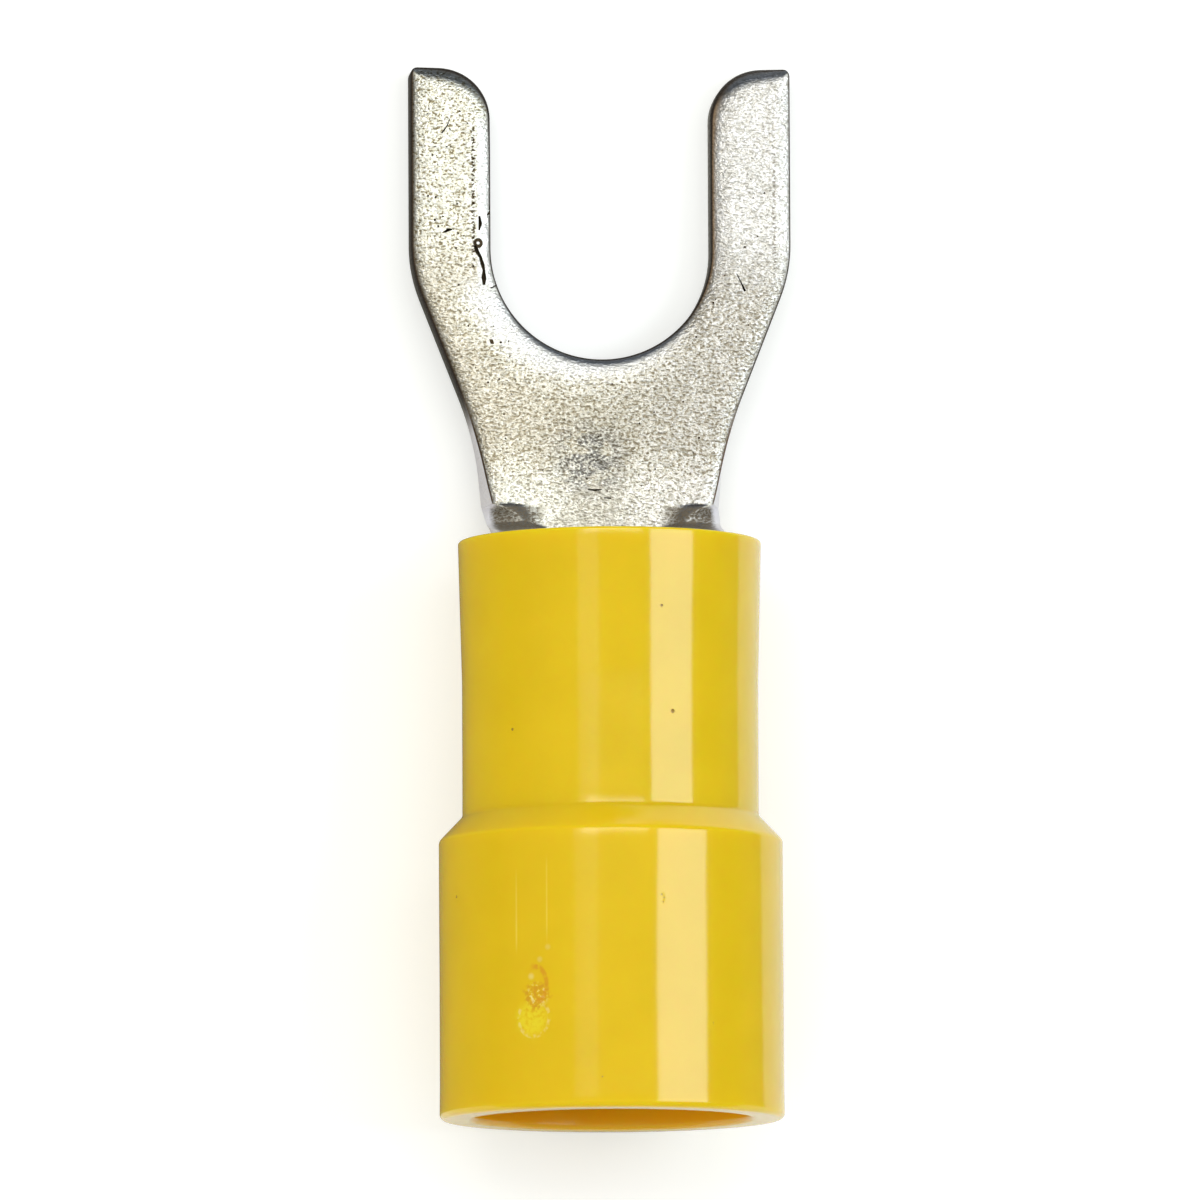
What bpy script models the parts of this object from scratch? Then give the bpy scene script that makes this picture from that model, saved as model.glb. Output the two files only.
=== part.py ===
"""Insulated fork terminal: a stamped and rolled copper lug in a moulded sleeve.

The terminal lies as it comes to rest on a table, tongue underside down, with its tips towards +Y
and the wire's mouth towards -Y. Each piece is modelled along its own axis, where y = 0 is the tips,
y runs down to the mouth, z = 0 is the tongue's underside, and the barrel's underside touches z = 0.
"""

import math

import bmesh
import bpy
from mathutils import Vector

MM = 0.001

# Tongue, stamped from sheet
SHEET = 1.0 * MM
TONGUE_WIDTH = 9.0 * MM
SLOT_WIDTH = 5.24 * MM
SLOT_DEPTH = 6.94 * MM
TIP_RADIUS = 1.2 * MM
TONGUE_PARALLEL = 4.84 * MM
TONGUE_BLEND = 0.65 * MM
TONGUE_TAPER_END = 8.75 * MM
TONGUE_TAPER_WIDTH = 5.93 * MM
NECK_BLEND = 0.95 * MM
DIE_ROLL_WIDTH = 0.4 * MM
DIE_ROLL_DEPTH = 0.16 * MM

# Neck, where the sheet's edges begin to curl up, and the webs beside its flat middle
CURL_START = 8.3 * MM
NECK_CURL = math.radians(13.0)
NECK_FLAT = 2.8 * MM
FLAT_END = 10.85 * MM
ROUND_START = 11.42 * MM
WEB_START = 10.4 * MM
WEB_LENGTH = 1.5 * MM
WEB_QUICKNESS = 0.07

# Barrel, rolled to a butt seam on its upper side
BARREL_DIAMETER = 5.5 * MM
BARREL_LENGTH = 5.9 * MM
SEAM_GAP = 0.15 * MM
BARREL_MOUTH_CHAMFER = 0.2 * MM
GROOVE_COUNT = 3
GROOVE_FIRST = 1.5 * MM
GROOVE_PITCH = 1.3 * MM
GROOVE_WIDTH = 0.55 * MM
GROOVE_SIDE = 0.15 * MM
GROOVE_DEPTH = 0.12 * MM

# Sleeve, turned about the barrel's axis
BARREL_CLEARANCE = 0.05 * MM
COLLAR_BORE_DEPTH = 6.35 * MM
COLLAR_BORE_LEAD = 0.12 * MM
COLLAR_FRONT_DIAMETER = 7.15 * MM
COLLAR_DIAMETER = 6.98 * MM
COLLAR_DRAFT_LENGTH = 3.3 * MM
COLLAR_LENGTH = 6.48 * MM
SHOULDER_LENGTH = 0.58 * MM
SHOULDER_ROUNDING = 0.16 * MM
BELL_DIAMETER = 8.09 * MM
BELL_BORE = 6.5 * MM
BELL_RIM_ROUNDING = 0.14 * MM
BELL_LIP_HEIGHT = 0.02 * MM
BELL_LIP_LENGTH = 0.25 * MM
FUNNEL_THROAT = 3.6 * MM
FUNNEL_LAND = 0.35 * MM
FUNNEL_LENGTH = 1.5 * MM
SLEEVE_LENGTH = 13.6 * MM

# Fineness of the facets
ACROSS = 15
ROLL_STEPS = 3
SLOT_STEPS = 14
TIP_STEPS = 7
SLEEVE_STEPS = 64
STOCK = 0.6 * MM

BARREL_RADIUS = BARREL_DIAMETER / 2
BARREL_START = WEB_START + WEB_LENGTH
BARREL_END = BARREL_START + BARREL_LENGTH
SEAT = BARREL_END + BARREL_CLEARANCE
SLEEVE_FRONT = SEAT - COLLAR_BORE_DEPTH
BARREL_CURL = math.pi - math.asin(SEAM_GAP / 2 / BARREL_RADIUS)


def clear_scene():
    """Remove every object, so that the model starts alone."""
    for item in list(bpy.data.objects):
        bpy.data.objects.remove(item, do_unlink=True)


def make_material(name, colour, roughness, metallic):
    """A Principled material with the piece's own colour."""
    material = bpy.data.materials.new(name)
    material.use_nodes = True
    shader = material.node_tree.nodes["Principled BSDF"]
    shader.inputs["Base Color"].default_value = (*colour, 1.0)
    shader.inputs["Roughness"].default_value = roughness
    shader.inputs["Metallic"].default_value = metallic
    return material


def corner_blend(distance, corner, reach, slope_change):
    """Extra offset of a line that changes slope at a corner, eased over the reach on both sides."""
    along = distance - corner
    if along <= -reach:
        return 0.0
    if along >= reach:
        return slope_change * along
    return slope_change * (along + reach) ** 2 / (4 * reach)


def half_width(distance):
    """Outer half-width of the lug, seen from above, at a distance from the tips."""
    taper = (TONGUE_TAPER_WIDTH - TONGUE_WIDTH) / 2 / (TONGUE_TAPER_END - TONGUE_PARALLEL)
    neck_end = WEB_START + WEB_LENGTH / 2
    neck = (BARREL_DIAMETER - TONGUE_TAPER_WIDTH) / 2 / (neck_end - TONGUE_TAPER_END)
    if distance >= neck_end:
        return BARREL_RADIUS
    width = TONGUE_WIDTH / 2
    width += corner_blend(distance, TONGUE_PARALLEL, TONGUE_BLEND, taper)
    width += corner_blend(distance, TONGUE_TAPER_END, NECK_BLEND, neck - taper)
    return max(width, BARREL_RADIUS)


def curl(distance):
    """Angle through which the sheet's edge is rolled at a distance from the tips."""
    if distance <= CURL_START:
        return 0.0
    if distance <= WEB_START:
        share = (distance - CURL_START) / (WEB_START - CURL_START)
        return NECK_CURL * share * share
    if distance >= BARREL_START:
        return BARREL_CURL
    share = (distance - WEB_START) / WEB_LENGTH
    quick = share + WEB_QUICKNESS * math.sin(math.tau * share)
    return NECK_CURL + (BARREL_CURL - NECK_CURL) * quick


def groove_depth(distance):
    """Depth of the wire-gripping grooves round the barrel's bore."""
    for number in range(GROOVE_COUNT):
        start = BARREL_START + GROOVE_FIRST + number * GROOVE_PITCH
        into = min(distance - start, start + GROOVE_WIDTH - distance)
        if into > 0:
            return GROOVE_DEPTH * min(1.0, into / GROOVE_SIDE)
    return 0.0


def sheet_thickness(distance):
    """Sheet thickness, less a groove or the lead-in at the barrel's wire end."""
    chamfer = max(0.0, distance - (BARREL_END - BARREL_MOUTH_CHAMFER))
    return SHEET - groove_depth(distance) - chamfer


def bend(distance, angle):
    """Half-width that stays flat and outer radius of the curl beside it, for an edge angle."""
    width = half_width(distance)
    if angle < 0.001:
        return width, BARREL_RADIUS
    share = min(1.0, max(0.0, (distance - FLAT_END) / (ROUND_START - FLAT_END)))
    flat = NECK_FLAT / 2 * (1 - share * share * (3 - 2 * share))
    return flat, (width - flat) / math.sin(min(angle, math.pi / 2))


def sheet_point(along, height, flat, outer, distance):
    """Point of the rolled sheet: flat near its middle, then curled up about an outer radius."""
    angle = max(0.0, (along - flat) / (outer - SHEET / 2))
    if angle <= 0.0:
        return Vector((along, -distance, height))
    radius = outer - height
    x = flat + radius * math.sin(angle)
    z = outer - radius * math.cos(angle)
    return Vector((x, -distance, z))


def half_section(distance):
    """Right half of the sheet's section, from the middle of its underside to the middle above."""
    angle = curl(distance)
    thickness = sheet_thickness(distance)
    flat, outer = bend(distance, angle)
    edge = flat + (outer - SHEET / 2) * angle
    points = []
    for step in range(ACROSS + 1):
        points.append(sheet_point(edge * step / ACROSS, 0.0, flat, outer, distance))
    for step in range(ROLL_STEPS):
        turn = math.pi / 2 * step / ROLL_STEPS
        inward = DIE_ROLL_WIDTH * (1 - math.cos(turn))
        height = thickness - DIE_ROLL_DEPTH * (1 - math.sin(turn))
        points.append(sheet_point(edge - inward, height, flat, outer, distance))
    for step in range(ACROSS, -1, -1):
        along = (edge - DIE_ROLL_WIDTH) * step / ACROSS
        points.append(sheet_point(along, thickness, flat, outer, distance))
    return points


def whole_section(distance):
    """Closed ring of points round the section, mirrored about the lug's middle plane."""
    right = half_section(distance)
    left = [Vector((-point.x, point.y, point.z)) for point in reversed(right[1:-1])]
    return right + left


def spread(start, end, count):
    """Evenly spaced distances from start to end, without the last."""
    return [start + (end - start) * step / count for step in range(count)]


def lug_stations():
    """Distances from the tips at which the sheet's section is drawn, closest at the webs."""
    stations = [-STOCK, 1.5 * MM]
    stations += spread(TONGUE_PARALLEL - TONGUE_BLEND, TONGUE_PARALLEL + TONGUE_BLEND, 5)
    stations.append(TONGUE_PARALLEL + TONGUE_BLEND)
    stations += spread(TONGUE_TAPER_END - NECK_BLEND, TONGUE_TAPER_END + NECK_BLEND, 7)
    stations += spread(TONGUE_TAPER_END + NECK_BLEND, WEB_START, 2)
    stations += spread(WEB_START, BARREL_START, 16)
    stations.append(BARREL_START)
    for number in range(GROOVE_COUNT):
        start = BARREL_START + GROOVE_FIRST + number * GROOVE_PITCH
        stations += [start, start + GROOVE_SIDE]
        stations += [start + GROOVE_WIDTH - GROOVE_SIDE, start + GROOVE_WIDTH]
    stations += [BARREL_END - BARREL_MOUTH_CHAMFER, BARREL_END]
    return stations


def loft(name, rings):
    """Closed mesh through rings of equal length, with a flat face on each end."""
    shape = bmesh.new()
    rows = [[shape.verts.new(point) for point in ring] for ring in rings]
    for row, following in zip(rows, rows[1:]):
        for index in range(len(row)):
            after = (index + 1) % len(row)
            shape.faces.new((row[index], following[index], following[after], row[after]))
    shape.faces.new(rows[0])
    shape.faces.new(list(reversed(rows[-1])))
    bmesh.ops.recalc_face_normals(shape, faces=shape.faces)
    mesh = bpy.data.meshes.new(name)
    shape.to_mesh(mesh)
    shape.free()
    return bpy.data.objects.new(name, mesh)


def slot_half_outline(inset):
    """Right half of the blanking punch: round slot bottom, slot wall, tip corner and cut-off."""
    slot = SLOT_WIDTH / 2
    points = []
    for step in range(SLOT_STEPS + 1):
        angle = math.pi / 2 * (step / SLOT_STEPS - 1)
        x = (slot + inset) * math.cos(angle)
        y = slot - SLOT_DEPTH + (slot + inset) * math.sin(angle)
        points.append((max(x, 0.0), y))
    for step in range(TIP_STEPS + 1):
        angle = math.pi - math.pi / 2 * step / TIP_STEPS
        x = slot + TIP_RADIUS + (TIP_RADIUS - inset) * math.cos(angle)
        y = -TIP_RADIUS + (TIP_RADIUS - inset) * math.sin(angle)
        points.append((x, y))
    points.append((TONGUE_WIDTH, -inset))
    points.append((TONGUE_WIDTH, 2 * STOCK))
    return points


def slot_ring(inset, height):
    """Punch outline at a height, drawn in from the tongue's edges by the inset."""
    right = slot_half_outline(inset)
    left = [(-x, y) for x, y in reversed(right[1:])]
    return [Vector((x, y, height)) for x, y in right + left]


def build_punch():
    """Cutter for the slot and the tips, flared at the top so that it leaves rounded edges."""
    rings = [slot_ring(0.0, -SHEET)]
    for step in range(ROLL_STEPS + 1):
        turn = math.pi / 2 * step / ROLL_STEPS
        inset = DIE_ROLL_WIDTH * (1 - math.cos(turn))
        rings.append(slot_ring(inset, SHEET - DIE_ROLL_DEPTH * (1 - math.sin(turn))))
    rings.append(slot_ring(DIE_ROLL_WIDTH, 2 * SHEET))
    punch = loft("fork_punch", rings)
    punch.hide_render = True
    punch.display_type = "WIRE"
    return punch


def build_lug(punch):
    """The rolled sheet with the fork punched out of its flat end."""
    lug = loft("fork_lug", [whole_section(distance) for distance in lug_stations()])
    lug.data.materials.append(make_material("tinned_copper", (0.72, 0.71, 0.67), 0.32, 1.0))
    lug.data.shade_smooth()
    lug.data.set_sharp_from_angle(angle=math.radians(35.0))
    cut = lug.modifiers.new("fork", "BOOLEAN")
    cut.operation = "DIFFERENCE"
    cut.solver = "EXACT"
    cut.object = punch
    return lug


def rounded_corner(before, corner, after, radius, steps=3):
    """Points of an arc that rounds a corner between two straight lines of a profile."""
    towards = (before - corner).normalized()
    onwards = (after - corner).normalized()
    half = towards.angle(onwards) / 2
    reach = radius / math.tan(half)
    centre = corner + (towards + onwards).normalized() * (radius / math.sin(half))
    first = corner + towards * reach - centre
    last = corner + onwards * reach - centre
    points = []
    for step in range(steps + 1):
        mixed = first.lerp(last, step / steps).normalized()
        points.append(centre + mixed * radius)
    return points


def sleeve_corners():
    """Corners of the sleeve's section as radius and distance from the tips, with their rounding.

    They run down the outer side from the collar to the mouth, then back up through the bore.
    """
    front = SLEEVE_FRONT
    mouth = front + SLEEVE_LENGTH
    shoulder = front + COLLAR_LENGTH
    bell = BELL_DIAMETER / 2
    bore = BARREL_RADIUS + BARREL_CLEARANCE
    throat = FUNNEL_THROAT / 2
    land = SEAT + FUNNEL_LAND
    return [
        (COLLAR_FRONT_DIAMETER / 2, front, 0.06 * MM),
        (COLLAR_DIAMETER / 2, front + COLLAR_DRAFT_LENGTH, 0.0),
        (COLLAR_DIAMETER / 2, shoulder, SHOULDER_ROUNDING),
        (bell, shoulder + SHOULDER_LENGTH, SHOULDER_ROUNDING),
        (bell, mouth - BELL_LIP_LENGTH, 0.0),
        (bell + BELL_LIP_HEIGHT, mouth, BELL_RIM_ROUNDING),
        (BELL_BORE / 2, mouth, BELL_RIM_ROUNDING),
        (BELL_BORE / 2, land + FUNNEL_LENGTH, 0.0),
        (throat, land, 0.0),
        (throat, SEAT, 0.0),
        (bore, SEAT, 0.0),
        (bore, front + COLLAR_BORE_LEAD, 0.0),
        (bore + COLLAR_BORE_LEAD, front, 0.0),
    ]


def sleeve_profile():
    """Closed section of the sleeve, its stated corners rounded."""
    corners = sleeve_corners()
    points = []
    for index, (radius, distance, rounding) in enumerate(corners):
        corner = Vector((radius, -distance))
        if not rounding:
            points.append(corner)
            continue
        before = Vector((corners[index - 1][0], -corners[index - 1][1]))
        following = corners[(index + 1) % len(corners)]
        after = Vector((following[0], -following[1]))
        points += rounded_corner(before, corner, after, rounding)
    return points


def build_sleeve():
    """The sleeve's section, turned about the barrel's axis."""
    points = sleeve_profile()
    edges = [(index, (index + 1) % len(points)) for index in range(len(points))]
    mesh = bpy.data.meshes.new("insulating_sleeve")
    mesh.from_pydata([(point.x, 0.0, point.y) for point in points], edges, [])
    sleeve = bpy.data.objects.new("insulating_sleeve", mesh)
    turn = sleeve.modifiers.new("turn", "SCREW")
    turn.axis = "Z"
    turn.angle = math.tau
    turn.screw_offset = 0.0
    turn.steps = SLEEVE_STEPS
    turn.render_steps = SLEEVE_STEPS
    turn.use_merge_vertices = True
    turn.merge_threshold = 0.00001
    turn.use_smooth_shade = True
    sleeve.data.materials.append(make_material("yellow_sleeve", (0.72, 0.48, 0.02), 0.3, 0.0))
    sleeve.rotation_euler = (-math.pi / 2, 0.0, 0.0)
    sleeve.location = (0.0, 0.0, BARREL_RADIUS)
    return sleeve


def rest_pitch():
    """Nose-down angle at which the tips and the sleeve both touch the table."""
    slopes = []
    for point in sleeve_profile():
        slopes.append(math.atan2(point.x - BARREL_RADIUS, -point.y))
    return max(slopes)


def lay_down(root, pieces):
    """Pitch the terminal to its rest, with the middle of its footprint at the origin."""
    root.rotation_euler = (-rest_pitch(), 0.0, 0.0)
    bpy.context.view_layer.update()
    graph = bpy.context.evaluated_depsgraph_get()
    corners = []
    for piece in pieces:
        shown = piece.evaluated_get(graph)
        mesh = shown.to_mesh()
        corners += [shown.matrix_world @ vertex.co for vertex in mesh.vertices]
        shown.to_mesh_clear()
    low = Vector([min(corner[axis] for corner in corners) for axis in range(3)])
    high = Vector([max(corner[axis] for corner in corners) for axis in range(3)])
    root.location = (-(low.x + high.x) / 2, -(low.y + high.y) / 2, -low.z)
    bpy.context.view_layer.update()


def main():
    clear_scene()
    parts = bpy.data.collections.new("insulated_fork_terminal")
    cutters = bpy.data.collections.new("cutters")
    bpy.context.scene.collection.children.link(parts)
    bpy.context.scene.collection.children.link(cutters)
    root = bpy.data.objects.new("terminal_root", None)
    punch = build_punch()
    lug = build_lug(punch)
    sleeve = build_sleeve()
    cutters.objects.link(punch)
    for item in (root, lug, sleeve):
        parts.objects.link(item)
    for item in (punch, lug, sleeve):
        item.parent = root
    lay_down(root, (lug, sleeve))


main()
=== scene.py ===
"""Looks of the insulated fork terminal, seen nearly straight down on a white table.

Each piece is modelled along the terminal's own axis, where y = 0 is the tips, y runs down to the
mouth, z = 0 is the tongue's underside, and then it is laid down as the frame has it.
"""

import math
import random

import bmesh
import bpy
from mathutils import Matrix, Vector, noise


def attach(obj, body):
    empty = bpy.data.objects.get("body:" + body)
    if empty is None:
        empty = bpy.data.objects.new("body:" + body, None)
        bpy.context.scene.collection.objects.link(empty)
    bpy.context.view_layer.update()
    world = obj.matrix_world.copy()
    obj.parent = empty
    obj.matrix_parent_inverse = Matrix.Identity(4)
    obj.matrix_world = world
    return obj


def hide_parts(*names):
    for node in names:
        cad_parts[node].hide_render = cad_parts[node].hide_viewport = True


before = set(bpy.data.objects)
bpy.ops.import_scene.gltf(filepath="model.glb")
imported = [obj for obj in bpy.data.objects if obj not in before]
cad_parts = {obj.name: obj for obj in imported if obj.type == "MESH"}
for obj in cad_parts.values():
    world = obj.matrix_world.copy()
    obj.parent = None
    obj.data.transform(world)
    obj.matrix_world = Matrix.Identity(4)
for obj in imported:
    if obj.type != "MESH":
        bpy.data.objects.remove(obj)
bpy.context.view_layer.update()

MM = 0.001

# Where the terminal's own axes lie in the frame
PITCH = math.radians(4.07373)
TIP_LOCATION = Vector((0.0, 12.5284 * MM, 0.0))

# Camera, from the photograph
IMAGE_SIDE = 1200.0
SIDE_LEAN = math.radians(4.813)
FORE_LEAN = math.radians(6.054)
CAMERA_ROLL = math.radians(-0.294)
PIXELS_PER_METRE = 42.572 / MM
CAMERA_DISTANCE = 418.5 * MM
AIM = Vector((0.0, -12.5 * MM, 2.75 * MM))
AIM_PIXEL = (609.6, 584.74)
SENSOR = 36.0

# Studio: the even light of the tent, and what glossy surfaces show of the room
WORLD_LEVEL = 1.6
TENT_LOW = (0.56, 0.455, 0.37)
TENT_TOP = (0.67, 0.725, 0.70)
TENT_RIGHT = (0.41, 0.41, 0.41)
ROOM_LOW = (0.12, 0.125, 0.135)
ROOM_MIDDLE = (0.19, 0.195, 0.205)
ROOM_TOP = (0.22, 0.22, 0.215)
WARM = (1.0, 1.0, 0.98)
COOL = (0.87, 0.95, 1.0)
FLOOR_WIDTH = 1.6
FLOOR = 0.72
FLOOR_GLOW = 0.40
# Table as glossy surfaces see it: painted light in a pool near the terminal, painted shade elsewhere
FLOOR_REFLECTED_LIT = 0.95
FLOOR_REFLECTED_SHADE = 0.22

WHITE = (1.0, 1.0, 1.0)

# Tin from the left prong to the right one, then its grain and stain, and the painted highlight,
# painted reflection and painted shade on its tips, webs, neck and cut edges
BRIGHT_TIN = ((0.0, (1.0, 0.99, 0.89)), (0.5, (0.97, 0.95, 0.87)), (1.0, (0.90, 0.885, 0.85)))
DULL_TIN = ((0.0, (0.88, 0.84, 0.73)), (0.5, (0.72, 0.695, 0.61)), (1.0, (0.74, 0.725, 0.69)))
MOTTLE = ((0.34, (0.44, 0.38, 0.27)), (0.50, (0.86, 0.83, 0.76)), (0.62, WHITE))
DOTS = ((0.35, (0.28, 0.22, 0.11)), (0.43, (0.88, 0.85, 0.74)), (0.52, WHITE))
PATCHES = ((0.36, (0.84, 0.83, 0.80)), (0.56, WHITE))
GRIT_SHARE = ((0.0, (0.92, 0.92, 0.92)), (1.0, (0.36, 0.36, 0.36)))
TIN_ROUGHNESS = ((0.3, (0.50, 0.50, 0.50)), (0.7, (0.30, 0.30, 0.30)))
GRAIN_STRETCH = (0.72, 1.0, 1.0)
GRAIN_SIZE = 0.058 * MM
COARSE_SIZE = 0.32 * MM
PATCH_SIZE = 0.17 * MM
GRAIN_RELIEF = 0.030 * MM
COARSE_RELIEF = 0.016 * MM
# Painted highlight on the slot's rim and the left prong's rounded edge
RIM_HIGHLIGHT = (1.0, 0.995, 0.96)
STAIN_TINT = (0.42, 0.44, 0.51)
STAIN_REACH = 1.25 * MM
STAIN_CORE = 0.3 * MM
# Painted shade along where the prongs' rounded edges begin
DARK_SHADE_DOTS = (0.14, 0.11, 0.08)
LIGHT_SHADE_DOTS = (0.62, 0.60, 0.57)
# Painted shade on the rolled tips
TIP_SHADE = (0.22, 0.24, 0.28)
# Painted shade on faces that look left, on the left prong and by the slot
LEFT_FACING_SHADE = (0.20, 0.14, 0.09)
SLOT_FACING_SHADE = (0.80, 0.56, 0.36)
# Painted shade inside the webs
WEB_SHADE = (0.165, 0.135, 0.097)
# Painted shade as a brown line along the neck's edge
NECK_SHADE_LINE = (0.16, 0.10, 0.06)
# Painted reflection, pale, on the neck's outer curls
NECK_EDGE_REFLECTION = (0.86, 0.85, 0.90)
NECK_FADE_START = -7.6 * MM
NECK_FADE_END = -8.8 * MM
# Painted shade as a dark line along the upper edge
EDGE_SHADE_LINE = (0.03, 0.022, 0.017)
# Sheared sides: painted light lower down, painted shade higher up
CUT_SIDE_PAINTED_LIGHT = (0.42, 0.39, 0.35)
CUT_SIDE_PAINTED_SHADE = (0.11, 0.09, 0.072)
CUT_GRAIN = (0.6, 0.57, 0.52)

# Yellow plastic and its marks, and the floors of small pits in both pieces
YELLOW = ((0.3, (0.71, 0.494, 0.001)), (0.7, (0.745, 0.518, 0.003)))
CLOUD_SIZE = 1.6 * MM
TORN_SIZE = 0.11 * MM
SKIN_GRAIN = 0.25 * MM
SKIN_RELIEF = 0.0008 * MM
BORE_ORANGE = (0.80, 0.44, 0.010)
GATE_YELLOW = (0.78, 0.64, 0.016)
GATE_BROWN = (0.62, 0.30, 0.01)
# Painted highlight on the scar's flecks and the dot
GATE_HIGHLIGHT = (0.92, 0.82, 0.40)
CRACK_ORANGE = (0.66, 0.30, 0.008)
# Painted highlights on the dimple's rim and spatter, and the flow lines' glint
CRESCENT_HIGHLIGHT = (0.88, 0.74, 0.30)
STREAK_GLINT = (0.84, 0.66, 0.08)
# Floors of the tin's pits and scores, painted near black as shade
PIT_SHADE = ((0.3, (0.05, 0.035, 0.02)), (0.7, (0.10, 0.07, 0.04)))
SPECK_BROWN = ((0.3, (0.30, 0.16, 0.01)), (0.7, (0.58, 0.36, 0.03)))
HOLLOW_GRAIN = 0.05 * MM

# Flaws in the plating in mm: right of the middle, distance from the tips, half-width
SCORES = (
    ((-2.89, 3.56, 0.020), (-2.87, 3.73, 0.040), (-2.90, 3.90, 0.016)),
    ((-3.00, 4.26, 0.034), (-2.955, 4.40, 0.044), (-2.87, 4.54, 0.034), (-2.825, 4.69, 0.044),
     (-2.79, 4.85, 0.030), (-2.79, 5.02, 0.054), (-2.79, 5.20, 0.028)),
    ((-2.60, 3.42, 0.060), (-2.71, 3.53, 0.012)),
    ((-2.48, 5.19, 0.026), (-2.63, 5.27, 0.010)),
    ((-3.73, 3.95, 0.018), (-3.64, 3.90, 0.030), (-3.54, 3.885, 0.014)),
    ((-3.58, 1.25, 0.006), (-3.65, 1.42, 0.012), (-3.78, 1.60, 0.015)),
    ((-3.60, 1.46, 0.010), (-3.55, 1.54, 0.006)),
    ((3.20, 4.90, 0.006), (3.30, 5.10, 0.012), (3.40, 5.32, 0.024)),
    ((-0.36, 10.05, 0.010), (-0.19, 10.07, 0.020), (-0.02, 10.05, 0.010)),
    ((0.03, 10.25, 0.010), (0.20, 10.26, 0.014)),
)
PITS = (
    (-4.11, 3.09, 0.034), (-3.93, 3.12, 0.034), (-3.95, 3.66, 0.036), (-3.87, 3.81, 0.034),
    (-3.76, 3.58, 0.028), (-4.08, 1.02, 0.022), (-4.12, 1.14, 0.024), (3.40, 4.27, 0.034),
    (2.86, 4.57, 0.026), (2.64, 5.60, 0.040), (2.70, 5.52, 0.026), (-0.38, 9.80, 0.030),
    (0.10, 10.09, 0.026), (-0.10, 8.80, 0.022),
)
RING_PIT = (-2.925, 4.205, 0.078, 0.044)
SCORE_DEPTH = 0.20 * MM
ALL_PITS = 150
PIT_SEED = 11
SLOT_CENTRE = 4.32

# Edges and groups of faces so small that cutting left them by chance
STRAY_EDGE = 0.0008 * MM
STRAY_FACES = 30

# Lug
SHEET = 1.0 * MM
TONGUE_WIDTH = 9.0 * MM
SLOT_WIDTH = 5.24 * MM
SLOT_DEPTH = 6.94 * MM
TIP_RADIUS = 1.2 * MM
TONGUE_PARALLEL = 4.84 * MM
TONGUE_BLEND = 0.65 * MM
TONGUE_TAPER_END = 8.75 * MM
TONGUE_TAPER_WIDTH = 5.93 * MM
NECK_BLEND = 0.95 * MM
EDGE_ROLL_WIDTH = 0.4 * MM
EDGE_ROLL_DEPTH = 0.16 * MM
SLOT_ROLL = (0.52 * MM, 0.18 * MM)
TIP_ROLL = (0.56 * MM, 0.36 * MM)
TIP_CORNER = 0.17 * MM
CURL_START = 8.3 * MM
WEB_START = 10.4 * MM
WEB_LENGTH = 1.5 * MM
WEB_QUICKNESS = 0.07
NECK_FLAT = 2.8 * MM
FLAT_END = 10.85 * MM
ROUND_START = 11.42 * MM
NECK_CURL = math.radians(13.0)
BARREL_RADIUS = 2.75 * MM
BARREL_LENGTH = 5.9 * MM
SEAM_GAP = 0.15 * MM
BARREL_MOUTH_CHAMFER = 0.2 * MM
GROOVE_COUNT = 3
GROOVE_FIRST = 1.5 * MM
GROOVE_PITCH = 1.3 * MM
GROOVE_WIDTH = 0.55 * MM
GROOVE_SIDE = 0.15 * MM
GROOVE_DEPTH = 0.12 * MM
STOCK = 0.6 * MM

# Sleeve
BARREL_CLEARANCE = 0.05 * MM
COLLAR_BORE_DEPTH = 6.35 * MM
COLLAR_BORE_LEAD = 0.12 * MM
COLLAR_FRONT_RADIUS = 3.575 * MM
COLLAR_RADIUS = 3.49 * MM
COLLAR_DRAFT_LENGTH = 3.3 * MM
COLLAR_LENGTH = 6.48 * MM
SHOULDER_LENGTH = 0.58 * MM
SHOULDER_ROUNDING = 0.16 * MM
BELL_RADIUS = 4.045 * MM
BELL_BORE_RADIUS = 3.25 * MM
BELL_RIM_ROUNDING = 0.14 * MM
BELL_LIP_HEIGHT = 0.01 * MM
BELL_LIP_LENGTH = 0.80 * MM
FUNNEL_THROAT_RADIUS = 1.8 * MM
FUNNEL_LAND = 0.35 * MM
FUNNEL_LENGTH = 1.5 * MM
SLEEVE_LENGTH = 13.6 * MM

# Marks on the sleeve: the angle to the right of its top and the distance from the tips. Streaks are
# x, start and end in mm, and specks are degrees, distance and radius in mm.
GATE_TURN = math.radians(-32.5)
GATE_PLACE = 23.01 * MM
SCAR_TURN = math.radians(-30.4)
SCAR_PLACE = 22.47 * MM
DOT_PLACE = 22.02 * MM
CRACK = (math.radians(-31.4), 22.22 * MM, 0.32 * MM)
CRESCENT = (math.radians(-31.7), 22.99 * MM, 0.40 * MM)
SPATTER = ((math.radians(-29.3), 21.63 * MM), (math.radians(-26.4), 21.35 * MM))
STREAKS = ((-2.485, 19.4, 21.6), (-1.811, 19.1, 21.4))
SPECKS = (
    (-45.8, 16.16, 0.036), (15.3, 13.34, 0.034), (19.9, 15.80, 0.050), (12.1, 20.15, 0.026),
    (12.9, 20.22, 0.022), (12.6, 20.32, 0.020), (-68.2, 20.00, 0.034), (-8.0, 24.4, 0.020),
    (31.0, 23.1, 0.020), (26.0, 22.2, 0.016),
)

# Fineness
ACROSS = 40
ROLL_STEPS = 6
SLOT_STEPS = 40
WALL_STEPS = 24
TIP_STEPS = 16
SLEEVE_STEPS = 288
SKIN_SPACING = 0.20 * MM
BORE_SPACING = 0.40 * MM
MARK_SPACING = 0.04 * MM
MARK_FIRST = 21.85 * MM
MARK_LAST = 23.65 * MM

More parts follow.
